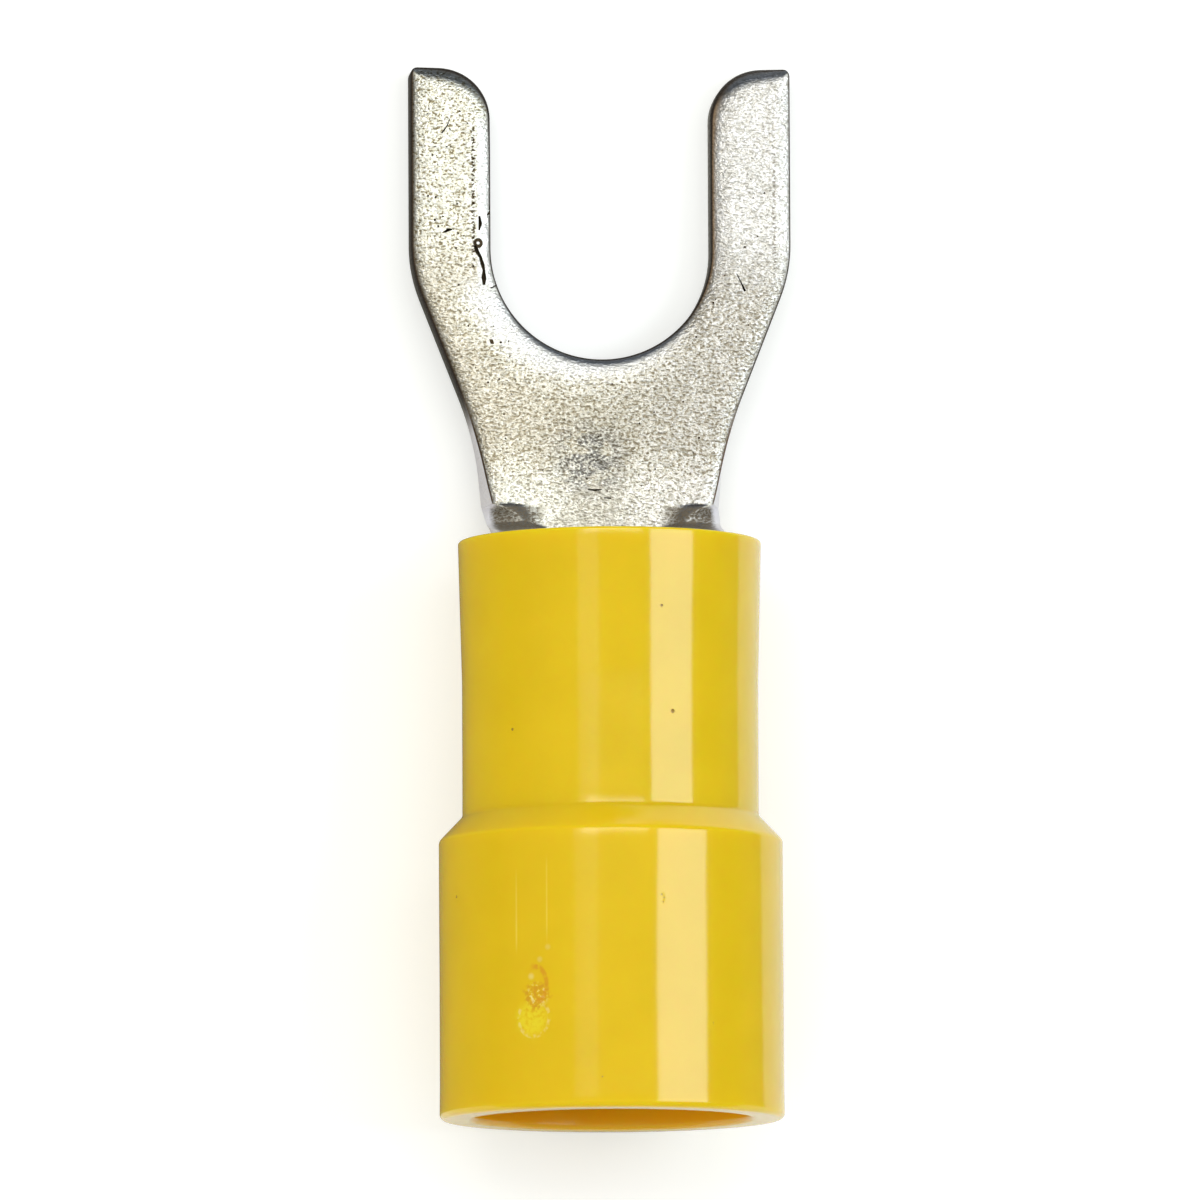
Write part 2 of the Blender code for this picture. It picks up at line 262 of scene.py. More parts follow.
BARREL_START = WEB_START + WEB_LENGTH
BARREL_END = BARREL_START + BARREL_LENGTH
SEAT = BARREL_END + BARREL_CLEARANCE
SLEEVE_FRONT = SEAT - COLLAR_BORE_DEPTH
BARREL_CURL = math.pi - math.asin(SEAM_GAP / 2 / BARREL_RADIUS)
LEFT_DOTS = -SLOT_WIDTH / 2 - 0.42 * MM
RIGHT_DOTS = TONGUE_WIDTH / 2 - 0.40 * MM
STAIN_PLACE = (-0.32 * MM, -9.3 * MM, SHEET)


def lay_matrix():
    """Places the terminal's own axes in the frame."""
    return Matrix.Translation(TIP_LOCATION) @ Matrix.Rotation(-PITCH, 4, "X")


def show(item):
    """Puts an object in the scene."""
    bpy.context.scene.collection.objects.link(item)
    return item


# Camera, floor and light

def add_camera():
    """The photograph's camera, leaned a little from straight above."""
    toward = Vector((-math.tan(SIDE_LEAN), -math.tan(FORE_LEAN), 1.0)).normalized()
    right = Vector((0.0, 1.0, 0.0)).cross(toward).normalized()
    up = toward.cross(right)
    turned_right = right * math.cos(CAMERA_ROLL) + up * math.sin(CAMERA_ROLL)
    turned_up = up * math.cos(CAMERA_ROLL) - right * math.sin(CAMERA_ROLL)
    offset_x = (AIM_PIXEL[0] - IMAGE_SIDE / 2) / PIXELS_PER_METRE
    offset_y = (AIM_PIXEL[1] - IMAGE_SIDE / 2) / PIXELS_PER_METRE
    place = AIM + toward * CAMERA_DISTANCE - turned_right * offset_x + turned_up * offset_y
    turn = Matrix((turned_right, turned_up, toward)).transposed().to_4x4()
    data = bpy.data.cameras.new("camera")
    data.sensor_width = SENSOR
    data.lens = PIXELS_PER_METRE * CAMERA_DISTANCE / IMAGE_SIDE * SENSOR
    data.clip_start = 0.01
    data.clip_end = 10.0
    camera = show(bpy.data.objects.new("camera", data))
    camera.matrix_world = lay_matrix() @ Matrix.Translation(place) @ turn
    bpy.context.scene.camera = camera


def floor_material():
    """Pale table that keeps the soft shadow; in gloss it shows a painted pool of light near the
    terminal and painted shade elsewhere.
    """
    made, tree, shader = new_material("table")
    path = new_node(tree, "LightPath", {})
    x, y = parts_of(tree, new_node(tree, "TexCoord", {}).outputs["Object"])[:2]
    # Painted pool of light, seen only in gloss, right of the terminal and beyond its mouth end
    near = both(tree, span(tree, x, 2.0, 3.0), span(tree, x, 16.6, 16.0))
    near = larger(tree, near, span(tree, y, -12.4, -12.8))
    seen = paint(tree, near, (FLOOR_REFLECTED_SHADE,) * 3, (FLOOR_REFLECTED_LIT,) * 3)
    colour = paint(tree, path.outputs["Is Glossy Ray"], (FLOOR,) * 3, seen)
    feed(tree, shader, {"Base Color": colour, "Roughness": 0.9, "Specular IOR Level": 0.0})
    glow = scaled(tree, path.outputs["Is Camera Ray"], FLOOR_GLOW)
    glow = new_node(tree, "Emission", {"Strength": glow})
    whole = new_node(tree, "AddShader", {0: shader.outputs[0], 1: glow.outputs[0]})
    feed(tree, tree.nodes["Material Output"], {"Surface": whole.outputs[0]})
    return made


def add_floor():
    """Table that the terminal lies on."""
    half = FLOOR_WIDTH / 2
    mesh = bpy.data.meshes.new("table")
    corners = [(-half, -half, 0), (half, -half, 0), (half, half, 0), (-half, half, 0)]
    mesh.from_pydata(corners, [], [(0, 1, 2, 3)])
    mesh.materials.append(floor_material())
    show(bpy.data.objects.new("table", mesh))


def add_light(name, lean, distance, ahead, size, level, colour):
    """Soft box over the terminal, leaned to its right by an angle and moved ahead along it.

    Its size is first along the terminal and then across, and its level is its face's brightness.
    """
    data = bpy.data.lights.new(name, "AREA")
    data.shape = "RECTANGLE"
    data.size = size[0]
    data.size_y = size[1]
    data.energy = level * math.pi * size[0] * size[1]
    data.color = colour
    lamp = show(bpy.data.objects.new(name, data))
    away = Vector((math.sin(math.radians(lean)), 0.0, math.cos(math.radians(lean))))
    along = Vector((0.0, 1.0, 0.0))
    turn = Matrix((along, away.cross(along), away)).transposed().to_4x4()
    place = away * distance + along * ahead
    lamp.matrix_world = lay_matrix() @ Matrix.Translation(place) @ turn


def add_lights():
    """Soft boxes at the right, at the left and ahead."""
    add_light("side_box", 43.5, 0.30, 0.010, (0.12, 0.189), 4.6, COOL)
    add_light("strip", -21.5, 0.60, 0.1365, (0.187, 0.168), 1.13, WARM)
    add_light("strip_near", -21.5, 0.60, 0.0172, (0.010, 0.168), 2.1, WARM)
    add_light("ahead_box", -2.0, 0.62, 0.155, (0.17, 0.50), 3.5, WARM)


def add_world():
    """Light tent: even light all round, and a darker studio seen in glossy surfaces."""
    world = bpy.data.worlds.new("studio")
    world.use_nodes = True
    tree = world.node_tree
    direction = new_node(tree, "TexCoord", {}).outputs["Generated"]
    across, along, height = parts_of(tree, direction)
    tent = ramp_node(tree, height, ((0.0, TENT_LOW), (0.9, TENT_TOP)))
    tent = tint(tree, band(tree, across, -1.0, 1.0), tent, TENT_RIGHT)
    room = ramp_node(tree, height, ((0.0, ROOM_LOW), (0.5, ROOM_MIDDLE), (0.96, ROOM_TOP)))
    path = new_node(tree, "LightPath", {})
    seen = paint(tree, path.outputs["Is Glossy Ray"], tent, room)
    seen = paint(tree, path.outputs["Is Camera Ray"], seen, WHITE)
    feed(tree, tree.nodes["Background"], {"Color": seen, "Strength": WORLD_LEVEL})
    bpy.context.scene.world = world


# Lug

def corner_blend(distance, corner, reach, slope_change):
    """Extra offset of a line that changes slope at a corner, eased over the reach on both sides."""
    along = distance - corner
    if along <= -reach:
        return 0.0
    if along >= reach:
        return slope_change * along
    return slope_change * (along + reach) ** 2 / (4 * reach)


def half_width(distance):
    """Outer half-width of the lug, seen from above, at a distance from the tips."""
    taper = (TONGUE_TAPER_WIDTH - TONGUE_WIDTH) / 2 / (TONGUE_TAPER_END - TONGUE_PARALLEL)
    neck_end = WEB_START + WEB_LENGTH / 2
    neck = (2 * BARREL_RADIUS - TONGUE_TAPER_WIDTH) / 2 / (neck_end - TONGUE_TAPER_END)
    if distance >= neck_end:
        return BARREL_RADIUS
    if distance < TIP_CORNER:
        into = TIP_CORNER - max(0.0, distance)
        return TONGUE_WIDTH / 2 - TIP_CORNER + math.sqrt(TIP_CORNER ** 2 - into ** 2)
    width = TONGUE_WIDTH / 2
    width += corner_blend(distance, TONGUE_PARALLEL, TONGUE_BLEND, taper)
    width += corner_blend(distance, TONGUE_TAPER_END, NECK_BLEND, neck - taper)
    return max(width, BARREL_RADIUS)


def curl(distance):
    """Angle through which the sheet's edge is rolled at a distance from the tips."""
    if distance <= CURL_START:
        return 0.0
    if distance <= WEB_START:
        share = (distance - CURL_START) / (WEB_START - CURL_START)
        return NECK_CURL * share * share
    if distance >= BARREL_START:
        return BARREL_CURL
    share = (distance - WEB_START) / WEB_LENGTH
    quick = share + WEB_QUICKNESS * math.sin(math.tau * share)
    return NECK_CURL + (BARREL_CURL - NECK_CURL) * quick


def groove_starts():
    """Distances from the tips at which the barrel's wire-gripping grooves begin."""
    return [BARREL_START + GROOVE_FIRST + number * GROOVE_PITCH for number in range(GROOVE_COUNT)]


def groove_depth(distance):
    """Depth of the wire-gripping grooves round the barrel's bore."""
    for start in groove_starts():
        into = min(distance - start, start + GROOVE_WIDTH - distance)
        if into > 0:
            return GROOVE_DEPTH * min(1.0, into / GROOVE_SIDE)
    return 0.0


def bend(distance, angle):
    """Half-width that stays flat and outer radius of the curl beside it, for an edge angle."""
    width = half_width(distance)
    if angle < 0.001:
        return width, BARREL_RADIUS
    share = min(1.0, max(0.0, (distance - FLAT_END) / (ROUND_START - FLAT_END)))
    flat = NECK_FLAT / 2 * (1 - share * share * (3 - 2 * share))
    return flat, (width - flat) / math.sin(min(angle, math.pi / 2))


def sheet_point(along, height, flat, outer, distance):
    """Point of the rolled sheet: flat near its middle, then curled up about an outer radius."""
    angle = max(0.0, (along - flat) / (outer - SHEET / 2))
    if angle <= 0.0:
        return Vector((along, -distance, height))
    radius = outer - height
    x = flat + radius * math.sin(angle)
    z = outer - radius * math.cos(angle)
    return Vector((x, -distance, z))


def half_section(distance):
    """Right half of the sheet's section, from the middle of its underside to the middle above."""
    angle = curl(distance)
    chamfer = max(0.0, distance - (BARREL_END - BARREL_MOUTH_CHAMFER))
    thickness = SHEET - groove_depth(distance) - chamfer
    flat, outer = bend(distance, angle)
    edge = flat + (outer - SHEET / 2) * angle
    places = [(edge * step / ACROSS, 0.0) for step in range(ACROSS + 1)]
    for step in range(ROLL_STEPS):
        turn = math.pi / 2 * step / ROLL_STEPS
        inward = EDGE_ROLL_WIDTH * (1 - math.cos(turn))
        places.append((edge - inward, thickness - EDGE_ROLL_DEPTH * (1 - math.sin(turn))))
    top = edge - EDGE_ROLL_WIDTH
    places += [(top * step / ACROSS, thickness) for step in range(ACROSS, -1, -1)]
    return [sheet_point(along, height, flat, outer, distance) for along, height in places]


def whole_section(distance):
    """Closed ring of points round the section, mirrored about the lug's middle plane."""
    right = half_section(distance)
    return right + mirrored(right[1:-1])


def spread(start, end, count):
    """Evenly spaced distances from start to end, without the last."""
    return [start + (end - start) * step / count for step in range(count)]


def lug_stations():
    """Distances from the tips at which the sheet's section is drawn, closest at the webs."""
    stations = [-STOCK, 0.0] + [TIP_CORNER * share for share in (0.06, 0.16, 0.34, 0.62)]
    stations += spread(TIP_CORNER, CURL_START, 72)
    stations += spread(CURL_START, WEB_START, 26)
    stations += spread(WEB_START, BARREL_START, 50)
    stations += [BARREL_START]
    for start in groove_starts():
        stations += [start, start + GROOVE_SIDE]
        stations += [start + GROOVE_WIDTH - GROOVE_SIDE, start + GROOVE_WIDTH]
    stations += [BARREL_END - BARREL_MOUTH_CHAMFER, BARREL_END]
    return stations


def add_rings(shape, rings, closed=False):
    """Faces through rings of equal length, with a flat face on each end unless it is closed."""
    rows = [[shape.verts.new(point) for point in ring] for ring in rings]
    following = rows[1:] + rows[:1] if closed else rows[1:]
    for row, after in zip(rows, following):
        for index in range(len(row)):
            beside = (index + 1) % len(row)
            shape.faces.new((row[index], after[index], after[beside], row[beside]))
    if not closed:
        shape.faces.new(rows[0])
        shape.faces.new(list(reversed(rows[-1])))


def object_of(shape, name, material):
    """Object in the scene made of a bmesh, which goes, with its faces turned outward."""
    bmesh.ops.recalc_face_normals(shape, faces=shape.faces)
    mesh = bpy.data.meshes.new(name)
    shape.to_mesh(mesh)
    shape.free()
    mesh.materials.append(material)
    return show(bpy.data.objects.new(name, mesh))


def loft(name, rings, material):
    """Closed piece through rings of equal length."""
    shape = bmesh.new()
    add_rings(shape, rings)
    return object_of(shape, name, material)


def mirrored(points):
    """The points on the other side of the lug's middle plane, in the opposite order."""
    return [Vector((-point.x, point.y, point.z)) for point in reversed(points)]


def edge_roll(share):
    """Width and depth of the rounded edge, from 0 along the slot to 1 at a tip's inner corner."""
    eased = share * share * (3 - 2 * share)
    return [slot + (tip - slot) * eased for slot, tip in zip(SLOT_ROLL, TIP_ROLL)]


def slot_half_outline():
    """Right half of the punch, from the slot's bottom: points, outward directions, edge rolls."""
    slot = SLOT_WIDTH / 2
    plain = edge_roll(0.0)
    points = []
    for step in range(SLOT_STEPS + 1):
        angle = math.pi / 2 * (step / SLOT_STEPS - 1)
        direction = Vector((math.cos(angle), math.sin(angle), 0.0))
        points.append((Vector((0.0, slot - SLOT_DEPTH, 0.0)) + direction * slot, direction, plain))
    wall_end = slot - SLOT_DEPTH
    for step in range(1, WALL_STEPS):
        y = wall_end + (-TIP_RADIUS - wall_end) * step / WALL_STEPS
        roll = edge_roll(0.45 * max(0.0, 1 + (y + TIP_RADIUS) / (1.2 * MM)))
        points.append((Vector((slot, y, 0.0)), Vector((1.0, 0.0, 0.0)), roll))
    centre = Vector((slot + TIP_RADIUS, -TIP_RADIUS, 0.0))
    for step in range(TIP_STEPS + 1):
        share = step / TIP_STEPS
        angle = math.pi - math.pi / 2 * share
        direction = Vector((math.cos(angle), math.sin(angle), 0.0))
        roll = edge_roll(0.45 + 0.55 * math.sin(math.pi * min(1.0, share * 0.9)))
        points.append((centre + direction * TIP_RADIUS, -direction, roll))
    outward = Vector((0.0, -1.0, 0.0))
    for step in range(1, 5):
        x = centre.x + (TONGUE_WIDTH / 2 - centre.x) * step / 4
        points.append((Vector((x, 0.0, 0.0)), outward, edge_roll(0.6 - 0.12 * step)))
    points.append((Vector((TONGUE_WIDTH, 0.0, 0.0)), outward, plain))
    return points


def slot_ring(turn, lift=0.0):
    """Ring of the punch: its outline drawn back and raised along the rounded edge by a turn."""
    right = []
    for point, outward, (width, depth) in slot_half_outline():
        place = point + outward * (width * (1 - math.cos(turn)))
        place.z = SHEET - depth * (1 - math.sin(turn)) + lift
        right.append(place)
    right.append(Vector((TONGUE_WIDTH, 2 * STOCK, right[-1].z)))
    return right + mirrored(right[1:])


def cut_with(piece, cutter):
    """Cut a piece with another, which goes; the cut faces keep the cutter's material."""
    cut = piece.modifiers.new("cut", "BOOLEAN")
    cut.operation = "DIFFERENCE"
    cut.solver = "EXACT"
    cut.material_mode = "TRANSFER"
    cut.object = cutter
    bpy.context.view_layer.update()
    graph = bpy.context.evaluated_depsgraph_get()
    mesh = bpy.data.meshes.new_from_object(piece.evaluated_get(graph))
    piece.modifiers.clear()
    piece.data = mesh
    bpy.data.objects.remove(cutter, do_unlink=True)


def face_group(start, left):
    """Faces joined to one by edges that exactly two faces share, taken out of those left."""
    group, wait = [], [start]
    left.discard(start)
    while wait:
        face = wait.pop()
        group.append(face)
        for edge in face.edges:
            if len(edge.link_faces) == 2:
                for other in edge.link_faces:
                    if other in left:
                        left.discard(other)
                        wait.append(other)
    return group


def drop_small_groups(work, only_flat):
    """Remove the small groups of faces of a mesh, or only the flat ones."""
    left = set(work.faces)
    stray = []
    for face in list(work.faces):
        if face not in left:
            continue
        group = face_group(face, left)
        first = group[0].normal
        flat = all(first.dot(other.normal) > 0.95 for other in group)
        if len(group) < STRAY_FACES and (flat or not only_flat):
            stray += group
    bmesh.ops.delete(work, geom=stray, context="FACES")


def mend_cuts(piece, dark_slot):
    """Remove the loose bits that cutting leaves and close the smallest pits, which it leaves open."""
    work = bmesh.new()
    work.from_mesh(piece.data)
    bmesh.ops.remove_doubles(work, verts=work.verts, dist=STRAY_EDGE)
    bmesh.ops.dissolve_degenerate(work, edges=work.edges, dist=STRAY_EDGE)
    bmesh.ops.triangulate(work, faces=work.faces)
    drop_small_groups(work, only_flat=True)
    drop_small_groups(work, only_flat=False)
    open_edges = [edge for edge in work.edges if edge.is_boundary]
    # The faces that close the smallest pits take the dark floor of painted shade
    for face in bmesh.ops.holes_fill(work, edges=open_edges, sides=0)["faces"]:
        face.material_index = dark_slot
    work.to_mesh(piece.data)
    work.free()


def make_punch(material):
    """Punch for the slot and the tips, flared where it leaves rounded edges."""
    rings = [slot_ring(0.0, -2 * SHEET)]
    for step in range(ROLL_STEPS + 1):
        rings.append(slot_ring(math.pi / 2 * step / ROLL_STEPS))
    rings.append(slot_ring(math.pi / 2, SHEET))
    return loft("punch", rings, material)


def score_rings(score):
    """Rings of a tapered groove along a line on the tongue's upper side."""
    places = [Vector((x * MM, -s * MM, 0.0)) for x, s, half in score]
    rings = []
    for index, place in enumerate(places):
        before = places[max(0, index - 1)]
        after = places[min(len(places) - 1, index + 1)]
        along = (after - before).normalized()
        side = Vector((-along.y, along.x, 0.0)) * (score[index][2] * MM * 1.25)
        top = place + Vector((0.0, 0.0, SHEET + 0.02 * MM))
        low = place + Vector((0.0, 0.0, SHEET - SCORE_DEPTH))
        rings.append([top - side, top + side, low + side * 0.5, low - side * 0.5])
    return rings


def ring_pit_rings():
    """Rings of a small round groove that leaves a dot of tin in its middle."""
    x, s, radius, half = [value * MM for value in RING_PIT]
    turns = [math.tau * part / 8 for part in range(8)]
    rings = []
    for step in range(20):
        angle = math.tau * step / 20
        outward = Vector((math.cos(angle), math.sin(angle), 0.0))
        centre = Vector((x, -s, SHEET - 0.02 * MM)) + outward * radius
        rings.append([centre + outward * half * math.cos(turn) + Vector((0, 0, half * math.sin(turn)))
                      for turn in turns])
    return rings


def stray_pits():
    """Small pits scattered over the tongue, most of them on its left prong."""
    chance = random.Random(PIT_SEED)
    pits = [Vector((x, s, half)) for x, s, half in PITS]
    lines = [Vector((x, s, 0.1)) for score in SCORES for x, s, half in score]
    ring = Vector((RING_PIT[0], RING_PIT[1], 0.1))
    while len(pits) < ALL_PITS:
        s = chance.uniform(0.8, 10.2)
        x = chance.uniform(-4.3, 4.3)
        keep = chance.random()
        half = 0.012 + 0.022 * chance.random() ** 2
        slot = SLOT_WIDTH / MM / 2
        from_slot = (abs(x) if s < SLOT_CENTRE else math.hypot(x, s - SLOT_CENTRE)) - slot
        inside = from_slot > 0.3 and abs(x) < half_width(s * MM) / MM - 0.4
        wanted = 1.0 if x < -2.0 else 0.15
        others = pits + lines + [ring]
        clear = all((Vector((x, s)) - other.xy).length > half + other.z + 0.02 for other in others)
        if inside and clear and keep < wanted:
            pits.append(Vector((x, s, half)))
    return pits


def make_scores(material):
    """Cutter for the scores in the plating."""
    shape = bmesh.new()
    for score in SCORES:
        add_rings(shape, score_rings(score))
    return object_of(shape, "scores", material)


def make_pits(material):
    """Cutter for the pits in the plating."""
    shape = bmesh.new()
    add_rings(shape, ring_pit_rings(), closed=True)
    for pit in stray_pits():
        place = Matrix.Translation((pit.x * MM, -pit.y * MM, SHEET + 0.1 * pit.z * MM))
        bmesh.ops.create_icosphere(shape, subdivisions=1, radius=pit.z * MM, matrix=place)
    return object_of(shape, "pits", material)


def finish_piece(piece, sharp_angle, place):
    """Smooth a piece up to its sharp edges and lay it down."""
    piece.data.shade_smooth()
    piece.data.set_sharp_from_angle(angle=math.radians(sharp_angle))
    piece.data.transform(place)


def make_lug():
    """Rolled sheet, punched and scarred."""
    tin = tin_material()
    lug = loft("tinned_lug", [whole_section(distance) for distance in lug_stations()], tin)
    cut_with(lug, make_punch(tin))
    # Floors of the scores and pits painted dark as shade
    dark = hollow_material("pit_floor", PIT_SHADE, 0.8, 0.1)
    cut_with(lug, make_scores(dark))
    cut_with(lug, make_pits(dark))
    mend_cuts(lug, lug.data.materials.find(dark.name))
    finish_piece(lug, 38.0, lay_matrix())
    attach(lug, "root")
    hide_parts("fork_lug")


# Sleeve

def rounded_corner(before, corner, after, radius, steps=6):
    """Points of an arc that rounds a corner between two straight lines of a profile."""
    towards = (before - corner).normalized()
    onwards = (after - corner).normalized()
    half = towards.angle(onwards) / 2
    reach = radius / math.tan(half)
    centre = corner + (towards + onwards).normalized() * (radius / math.sin(half))
    first = corner + towards * reach - centre
    last = corner + onwards * reach - centre
    return [centre + first.lerp(last, step / steps).normalized() * radius for step in range(steps + 1)]


def sleeve_corners():
    """Corners of the sleeve's section as radius and distance from the tips, with their rounding."""
    front = SLEEVE_FRONT
    mouth = front + SLEEVE_LENGTH
    shoulder = front + COLLAR_LENGTH
    bore = BARREL_RADIUS + BARREL_CLEARANCE
    land = SEAT + FUNNEL_LAND
    return [
        (COLLAR_FRONT_RADIUS, front, 0.06 * MM),
        (COLLAR_RADIUS, front + COLLAR_DRAFT_LENGTH, 0.0),
        (COLLAR_RADIUS, shoulder, SHOULDER_ROUNDING),
        (BELL_RADIUS, shoulder + SHOULDER_LENGTH, SHOULDER_ROUNDING),
        (BELL_RADIUS, MARK_FIRST, 0.0),
        (BELL_RADIUS, MARK_LAST, 0.0),
        (BELL_RADIUS, mouth - BELL_LIP_LENGTH, 0.0),
        (BELL_RADIUS + BELL_LIP_HEIGHT, mouth, BELL_RIM_ROUNDING),
        (BELL_BORE_RADIUS, mouth, BELL_RIM_ROUNDING),
        (BELL_BORE_RADIUS, land + FUNNEL_LENGTH, 0.2 * MM),
        (FUNNEL_THROAT_RADIUS, land, 0.1 * MM),
        (FUNNEL_THROAT_RADIUS, SEAT, 0.0),
        (bore, SEAT, 0.0),
        (bore, front + COLLAR_BORE_LEAD, 0.0),
        (bore + COLLAR_BORE_LEAD, front, 0.0),
    ]


def sleeve_profile():
    """Closed section of the sleeve as radius and -distance, with long runs divided."""
    corners = sleeve_corners()
    raw = []
    for index, (radius, distance, rounding) in enumerate(corners):
        corner = Vector((radius, -distance))
        if not rounding:
            raw.append(corner)
            continue
        before = Vector((corners[index - 1][0], -corners[index - 1][1]))
        following = corners[(index + 1) % len(corners)]
        after = Vector((following[0], -following[1]))
        raw += rounded_corner(before, corner, after, rounding)
    points = []
    for index, point in enumerate(raw):
        after = raw[(index + 1) % len(raw)]
        spacing = SKIN_SPACING if min(point.x, after.x) > 3.3 * MM else BORE_SPACING
        if point.y == -MARK_FIRST:
            spacing = MARK_SPACING
        pieces = max(1, round((after - point).length / spacing))
        points += [point.lerp(after, step / pieces) for step in range(pieces)]
    return points


def sleeve_wave(point):
    """Slow unevenness of the moulded skin, as a change of radius that is never above zero."""
    long = Vector((point.x / 2.3, point.y / 5.0, point.z / 2.3)) / MM
    slow = noise.noise(long + Vector((3.0, 0.4, 7.0))) * 0.011 * MM
    fine = noise.noise(point / (0.9 * MM) + Vector((5.0, 1.0, 2.0))) * 0.0012 * MM
    return min(0.0, slow + fine - 0.009 * MM)


def within_oval(across, along, half_across, half_along):
    """1 in the middle of an oval, 0 at its rim and outside."""
    return max(0.0, 1.0 - (across / half_across) ** 2 - (along / half_along) ** 2)


def gate_mark(turn, distance):
    """Change of the bell's radius at the gate: oval dimple, torn scar and a dot before it."""
    along = distance - GATE_PLACE
    across = (turn - GATE_TURN) * BELL_RADIUS
    dimple = within_oval(across, along, 0.48 * MM, 0.40 * MM)
    change = -0.085 * MM * dimple ** 2
    dot = within_oval(across, distance - DOT_PLACE, 0.09 * MM, 0.12 * MM)
    across = (turn - SCAR_TURN) * BELL_RADIUS
    along = distance - SCAR_PLACE
    scar = within_oval(across, along, 0.30 * MM, 0.25 * MM)
    torn = noise.noise(Vector((across, along, 0.0)) / (0.075 * MM))
    return change + 0.03 * MM * dot + (0.015 + 0.06 * torn) * MM * math.sqrt(scar)


def sleeve_turns():
    """Angles of the sleeve's columns from its top, close together at the gate mark."""
    fine = [math.radians(-40.0 + 0.25 * step) for step in range(61)]
    even = [math.tau * (step / SLEEVE_STEPS - 0.5) for step in range(SLEEVE_STEPS)]
    return sorted(fine + [turn for turn in even if not fine[0] - 0.01 < turn < fine[-1] + 0.01])


def skin_radius(distance):
    """Outer radius of the collar or the bell at a distance from the tips."""
    if distance > SLEEVE_FRONT + COLLAR_LENGTH:
        return BELL_RADIUS
    share = min(1.0, (distance - SLEEVE_FRONT) / COLLAR_DRAFT_LENGTH)
    return COLLAR_FRONT_RADIUS + (COLLAR_RADIUS - COLLAR_FRONT_RADIUS) * share


def make_specks():
    """Cutter for the small pits in the sleeve's skin."""
    shape = bmesh.new()
    for degrees, distance, radius in SPECKS:
        out = skin_radius(distance * MM)
        turn = math.radians(degrees)
        place = Vector((out * math.sin(turn), -distance * MM, out * math.cos(turn)))
        there = Matrix.Translation(place)
        bmesh.ops.create_icosphere(shape, subdivisions=2, radius=radius * MM, matrix=there)
    return object_of(shape, "specks", hollow_material("speck_floor", SPECK_BROWN, 0.5, 0.5))


def sleeve_columns():
    """The sleeve's section at each angle round it."""
    profile = sleeve_profile()
    columns = []
    for angle in sleeve_turns():
        column = []
        for point in profile:
            place = Vector((point.x * math.sin(angle), point.y, point.x * math.cos(angle)))
            radius = point.x + sleeve_wave(place)
            if point.x == BELL_RADIUS:
                radius += gate_mark(angle, -point.y)
            column.append((radius * math.sin(angle), point.y, radius * math.cos(angle)))
        columns.append(column)
    return columns


def make_sleeve():
    """Moulded sleeve, made about its own axis."""
    shape = bmesh.new()
    add_rings(shape, sleeve_columns(), closed=True)
    sleeve = object_of(shape, "yellow_sleeve", sleeve_material())
    cut_with(sleeve, make_specks())
    finish_piece(sleeve, 50.0, lay_matrix() @ Matrix.Translation((0.0, 0.0, BARREL_RADIUS)))
    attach(sleeve, "root")
    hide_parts("insulating_sleeve")


# Materials

def new_material(name):
    """Node material, with its tree and its shader."""
    made = bpy.data.materials.new(name)
    made.use_nodes = True
    return made, made.node_tree, made.node_tree.nodes["Principled BSDF"]


def feed(tree, made, values):
    """Give a node's inputs numbers, colours, vectors or other nodes' outputs."""
    for name, value in values.items():
        socket = made.inputs[name]
        if isinstance(value, float):
            socket.default_value = value
        elif isinstance(value, tuple):
            socket.default_value = (*value, 1.0)[:len(socket.default_value)]
        else:
            tree.links.new(value, socket)


def new_node(tree, kind, inputs):
    """Node of a kind, with its inputs fed."""
    made = tree.nodes.new("ShaderNode" + kind)
    feed(tree, made, inputs)
    return made


def parts_of(tree, vector):
    """The x, y and z of a vector."""
    made = new_node(tree, "SeparateXYZ", {"Vector": vector})
    return made.outputs["X"], made.outputs["Y"], made.outputs["Z"]


def flat_place(tree, parts):
    """Vector of the named parts, with 0 for the others."""
    return new_node(tree, "CombineXYZ", parts).outputs["Vector"]


def scaled_place(tree, place, scale):
    """Position with its parts multiplied by three numbers."""
    return new_node(tree, "Mapping", {"Vector": place, "Scale": scale}).outputs["Vector"]


def own_place(tree):
    """Position along the terminal's own axes, undoing the way it is laid down."""
    place = new_node(tree, "TexCoord", {}).outputs["Object"]
    move = tuple(Matrix.Rotation(PITCH, 3, "X") @ -TIP_LOCATION)
    inputs = {"Vector": place, "Rotation": (PITCH, 0.0, 0.0), "Location": move}
    return new_node(tree, "Mapping", inputs).outputs["Vector"]


def noise_node(tree, place, size, detail=2.0, roughness=0.5):
    """Noise whose grains are about the given size."""
    inputs = {"Vector": place, "Scale": 1.0 / size, "Detail": detail, "Roughness": roughness}
    return new_node(tree, "TexNoise", inputs).outputs["Fac"]


def ramp_node(tree, source, stops):
    """Colour ramp from positions and colours."""
    made = new_node(tree, "ValToRGB", {"Fac": source})
    elements = made.color_ramp.elements
    while len(elements) < len(stops):
        elements.new(0.5)
    for element, (position, colour) in zip(elements, stops):
        element.position = position
        element.color = (*colour, 1.0)
    return made.outputs["Color"]


def math_node(tree, operation, first, second, added=0.0):
    """Sum of sockets or numbers."""
    made = new_node(tree, "Math", {0: first, 1: second, 2: added})
    made.operation = operation
    return made.outputs[0]


def mix_colour(tree, blend, factor, first, second):
    """Mix of two colours, each a socket or a tuple."""
    made = new_node(tree, "Mix", {})
    made.data_type = "RGBA"
    made.blend_type = blend
    feed(tree, made, {"Factor": factor, "A": first, "B": second})
    return made.outputs["Result"]


def paint(tree, mask, colour, over):
    """A colour with another over it where the mask is 1."""
    return mix_colour(tree, "MIX", mask, colour, over)


def tint(tree, mask, colour, by):
    """A colour multiplied by another where the mask is 1."""
    return mix_colour(tree, "MULTIPLY", mask, colour, by)


